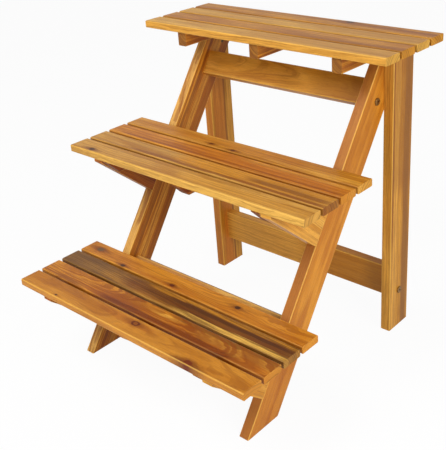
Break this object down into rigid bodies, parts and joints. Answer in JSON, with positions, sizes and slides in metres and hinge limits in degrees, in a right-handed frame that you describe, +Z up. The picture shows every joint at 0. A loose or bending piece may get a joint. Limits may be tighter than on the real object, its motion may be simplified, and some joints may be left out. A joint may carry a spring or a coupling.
{
  "type": "tiered plant stand",
  "caption": "Free-standing wooden plant stand: slatted shelves step up and back on inclined ladder legs, propped behind by upright legs.",
  "frame": {"origin": "centre of the stand's footprint on the floor, halfway between its front and back and between its left and right ends", "axes": "+X to the right along the slats seen from the front, +Y from the low front shelf to the high back shelf, +Z up"},
  "size_m": [0.6, 0.6036, 0.632],
  "materials": {
    "slat_acacia": "oiled acacia, satin, with knots, dark heartwood streaks and pale sapwood",
    "leg_acacia": "oiled acacia, satin",
    "frame_acacia": "oiled acacia, satin",
    "bolt_bronze": "dark bronze plated, satin",
    "zinc_steel": "zinc plated",
    "beech_dowel": "plain, fluted stock"
  },
  "bodies": {
    "root": {"ladder_leg_left": "leg_acacia", "rear_leg_left": "leg_acacia", "ladder_leg_right": "leg_acacia", "rear_leg_right": "leg_acacia", "lower_crossbar": "frame_acacia", "upper_crossbar": "frame_acacia", "rear_stretcher": "frame_acacia", "low_bracket_left": "frame_acacia", "low_bracket_right": "frame_acacia", "middle_bracket_left": "frame_acacia", "middle_bracket_right": "frame_acacia", "low_batten_left": "frame_acacia", "low_batten_middle": "frame_acacia", "low_batten_right": "frame_acacia", "middle_batten_left": "frame_acacia", "middle_batten_middle": "frame_acacia", "middle_batten_right": "frame_acacia", "top_batten_left": "frame_acacia", "top_batten_middle": "frame_acacia", "top_batten_right": "frame_acacia", "low_slat_1": "slat_acacia", "low_slat_2": "slat_acacia", "low_slat_3": "slat_acacia", "low_slat_4": "slat_acacia", "middle_slat_1": "slat_acacia", "middle_slat_2": "slat_acacia", "middle_slat_3": "slat_acacia", "middle_slat_4": "slat_acacia", "top_slat_1": "slat_acacia", "top_slat_2": "slat_acacia", "top_slat_3": "slat_acacia", "top_slat_4": "slat_acacia", "connector_bolts": "bolt_bronze", "barrel_nuts": "zinc_steel", "leg_screws": "zinc_steel", "low_slat_screws": "zinc_steel", "middle_slat_screws": "zinc_steel", "top_slat_screws": "zinc_steel", "batten_screws": "zinc_steel", "crossbar_dowels": "beech_dowel", "stretcher_dowels": "beech_dowel", "bracket_dowels": "beech_dowel"}
  },
  "joints": []
}
